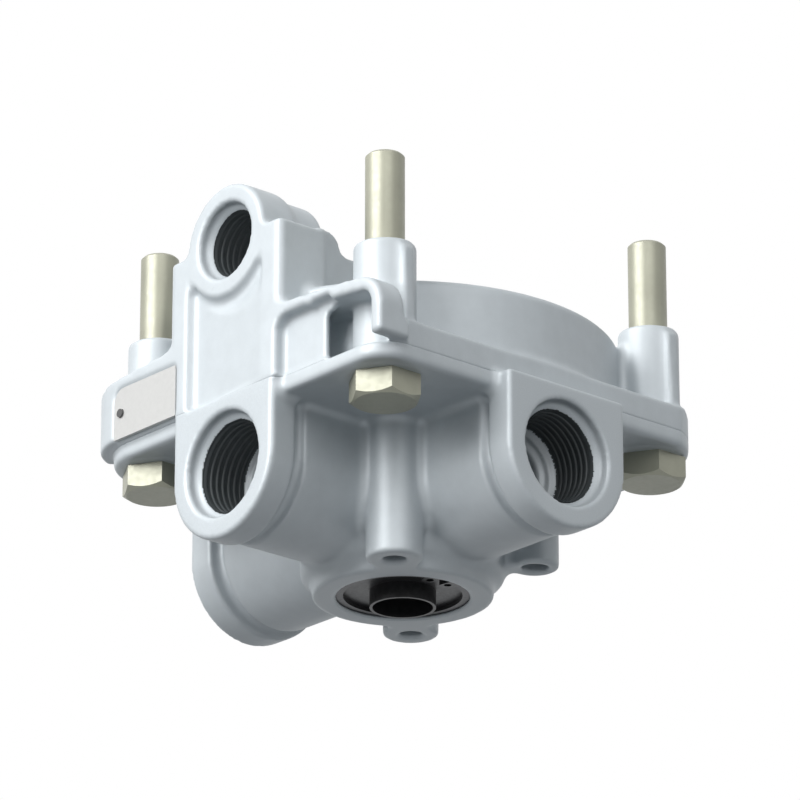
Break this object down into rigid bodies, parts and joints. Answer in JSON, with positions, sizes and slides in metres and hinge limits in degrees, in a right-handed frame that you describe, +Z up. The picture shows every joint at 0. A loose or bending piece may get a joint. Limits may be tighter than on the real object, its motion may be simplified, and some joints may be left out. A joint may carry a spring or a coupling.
{
  "type": "air brake relay valve",
  "caption": "Compressed-air relay valve of a vehicle brake system: light-alloy castings clamped by long bolts, with threaded ports, a control port tower and an exhaust below.",
  "frame": {"origin": "On the valve axis, in the flat face of the exhaust ring at the bottom.", "axes": "+Z up along the valve axis and the bolts; -Y is the front with the control port, the supply port below it and the name plate; +X and -X are the delivery ports."},
  "size_m": [0.1, 0.0942, 0.0801],
  "materials": {
    "cast_alloy": "shot-blasted casting with machined faces",
    "turned_alloy": "turned",
    "zinc_bolt": "pale yellow zinc plating",
    "spring_steel": "drawn wire",
    "plated_steel": "plated",
    "dark_steel": "phosphated",
    "seal_rubber": "matt",
    "black_plastic": "moulded",
    "plate_foil": "satin"
  },
  "bodies": {
    "housing": {"upper_housing": "cast_alloy", "lower_housing": "cast_alloy", "housing_seal": "seal_rubber", "seal_retainer": "plated_steel", "valve_guide": "black_plastic", "guide_outer_seal": "seal_rubber", "guide_inner_seal": "seal_rubber", "snap_ring": "dark_steel", "mounting_bolts": "zinc_bolt", "name_plate": "plate_foil", "name_plate_pin": "dark_steel"},
    "piston": {"relay_piston": "turned_alloy", "piston_seal": "seal_rubber"},
    "valve": {"valve_tube": "black_plastic", "valve_disc": "seal_rubber", "disc_retainer": "plated_steel", "valve_spring": "spring_steel"}
  },
  "joints": [
    {"name": "piston_slide", "type": "slide", "parent": "housing", "child": "piston", "axis": [0, 0, 1], "range_m": [-0.0044, 0]},
    {"name": "valve_slide", "type": "slide", "parent": "housing", "child": "valve", "axis": [0, 0, 1], "range_m": [-0.00295, 0], "stiffness_N_per_m": 8000, "springref_m": 0.002, "deforming": ["valve_spring"]}
  ],
  "couplings": [
    {"joint": "valve_slide", "follows": "piston_slide", "ratio": 0.67}
  ]
}
